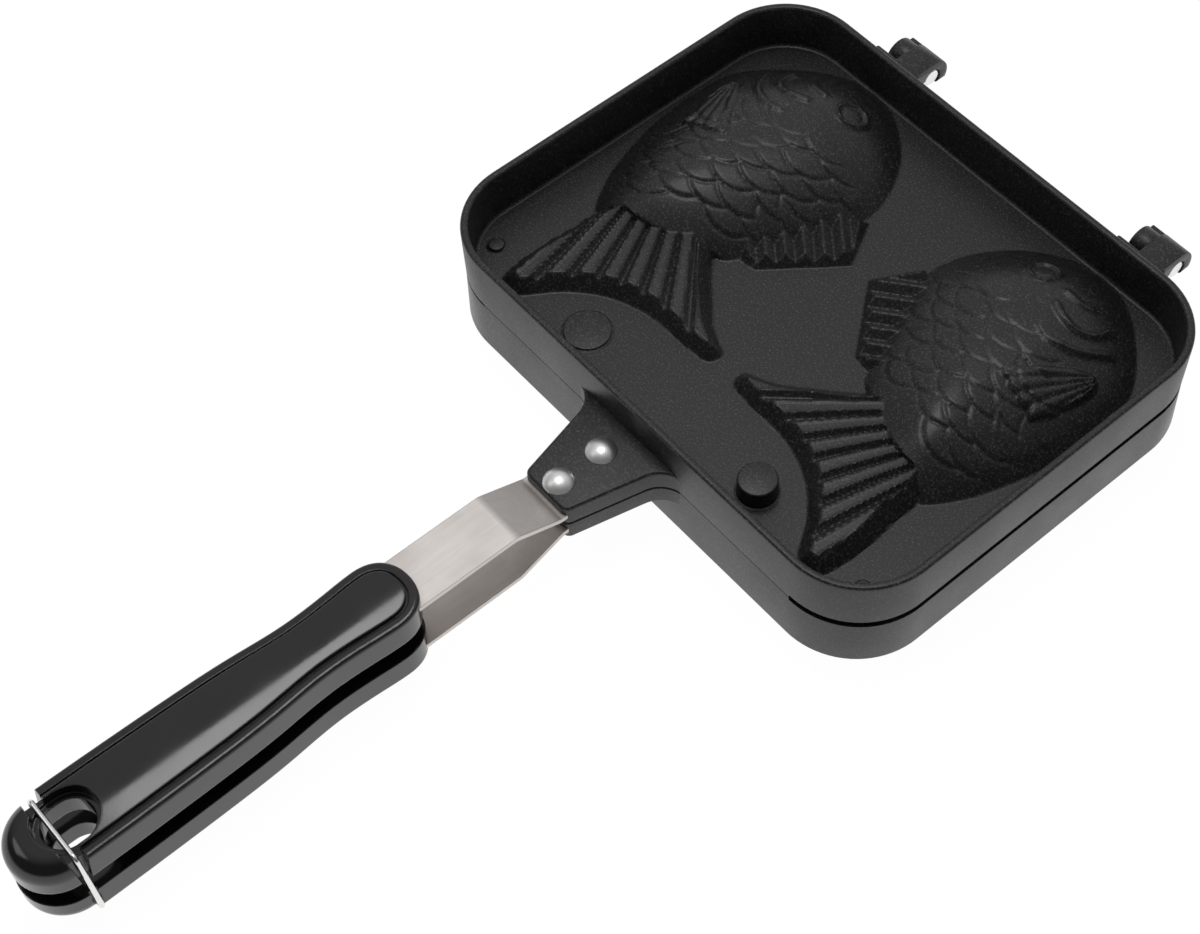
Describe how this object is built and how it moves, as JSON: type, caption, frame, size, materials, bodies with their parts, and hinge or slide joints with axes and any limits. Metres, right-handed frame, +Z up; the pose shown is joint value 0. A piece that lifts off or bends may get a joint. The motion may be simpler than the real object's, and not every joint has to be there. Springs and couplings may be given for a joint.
{
  "type": "fish waffle pan",
  "caption": "Hinged double waffle pan with two fish moulds in each half, strip stems, moulded grips and a swinging wire latch.",
  "frame": {"origin": "where a burner's axis meets the plane that the lower rim rests on, under the middle of the pans", "axes": "+Z up, +Y from the handle to the hinge, +X across the two fish, to the right seen from the handle"},
  "size_m": [0.18, 0.3636, 0.037],
  "materials": {
    "coated_cast_aluminium": "matte black non-stick coating on cast aluminium",
    "strip_steel": "satin",
    "rivet_aluminium": "bright",
    "grip_plastic": "glossy black",
    "pin_steel": "bright turned",
    "wire_steel": "bright drawn wire"
  },
  "bodies": {
    "base": {"lower_pan": "coated_cast_aluminium", "lower_stem": "strip_steel", "lower_grip": "grip_plastic", "lower_inner_rivet": "rivet_aluminium", "lower_outer_rivet": "rivet_aluminium", "left_hinge_pin": "pin_steel", "right_hinge_pin": "pin_steel"},
    "lid": {"upper_pan": "coated_cast_aluminium", "upper_stem": "strip_steel", "upper_grip": "grip_plastic", "upper_inner_rivet": "rivet_aluminium", "upper_outer_rivet": "rivet_aluminium"},
    "latch": {"latch_wire": "wire_steel"}
  },
  "joints": [
    {"name": "lid_hinge", "type": "hinge", "parent": "base", "child": "lid", "pos_m": [0, 0.08805, 0.0185], "axis": [-1, 0, 0], "range_deg": [0, 180]},
    {"name": "latch_swing", "type": "hinge", "parent": "base", "child": "latch", "pos_m": [0, -0.2558, 0.0081], "axis": [1, 0, 0], "range_deg": [0, 100], "deforming": ["latch_wire"]}
  ]
}
